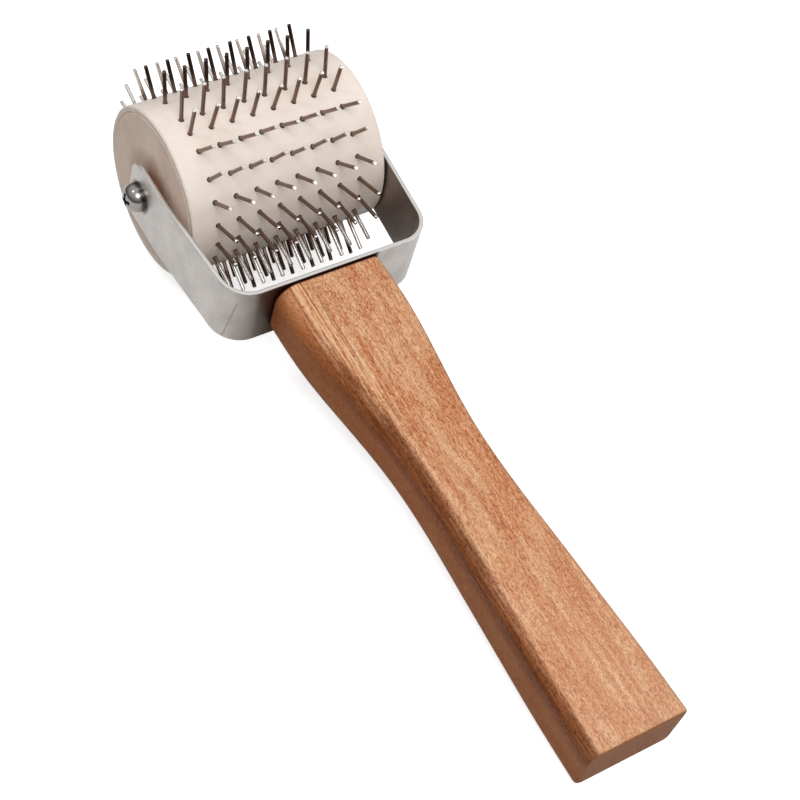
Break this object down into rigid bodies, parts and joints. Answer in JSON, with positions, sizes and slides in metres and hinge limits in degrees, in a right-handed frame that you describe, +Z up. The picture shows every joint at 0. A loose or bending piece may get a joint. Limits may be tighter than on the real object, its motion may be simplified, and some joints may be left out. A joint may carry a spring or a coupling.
{
  "type": "honeycomb uncapping roller",
  "caption": "Needle roller for pricking the wax caps of honeycomb: a plastic drum set with steel needles turns in a bent steel yoke on a waisted wooden handle.",
  "frame": {"origin": "on the surface the tool lies on, under the middle of its box", "axes": "+X along the drum's axle, +Y away from the handle towards the drum, +Z up; the tool lies on its lowest needles and the butt of its handle"},
  "size_m": [0.0927, 0.2836, 0.0836],
  "materials": {
    "stainless": "satin bent strip",
    "hardwood": "open-pored, lightly oiled",
    "bright_steel": "bright plated",
    "nylon": "natural, matt",
    "ivory_plastic": "semi-gloss ivory",
    "tan_plastic": "matt tan grey",
    "grey_plastic": "matt grey",
    "needle_steel": "drawn wire, slightly dull"
  },
  "bodies": {
    "frame": {"yoke": "stainless", "handle": "hardwood", "axle_rod": "bright_steel", "axle_screws": "bright_steel", "handle_screws": "bright_steel", "washer_left": "nylon", "washer_right": "nylon"},
    "drum": {"drum_shell": "ivory_plastic", "core_sleeve": "grey_plastic", "end_cap_left": "tan_plastic", "end_cap_right": "tan_plastic", "bush_left": "nylon", "bush_right": "nylon", "needle_row_01": "needle_steel", "needle_row_02": "needle_steel", "needle_row_03": "needle_steel", "needle_row_04": "needle_steel", "needle_row_05": "needle_steel", "needle_row_06": "needle_steel", "needle_row_07": "needle_steel", "needle_row_08": "needle_steel", "needle_row_09": "needle_steel", "needle_row_10": "needle_steel", "needle_row_11": "needle_steel", "needle_row_12": "needle_steel", "needle_row_13": "needle_steel", "needle_row_14": "needle_steel", "needle_row_15": "needle_steel", "needle_row_16": "needle_steel", "needle_row_17": "needle_steel", "needle_row_18": "needle_steel", "needle_row_19": "needle_steel", "needle_row_20": "needle_steel", "needle_row_21": "needle_steel", "needle_row_22": "needle_steel", "needle_row_23": "needle_steel", "needle_row_24": "needle_steel"}
  },
  "joints": [
    {"name": "drum_spin", "type": "hinge", "parent": "frame", "child": "drum", "pos_m": [0, 0.09983, 0.04173], "axis": [1, 0, 0], "continuous": true}
  ]
}
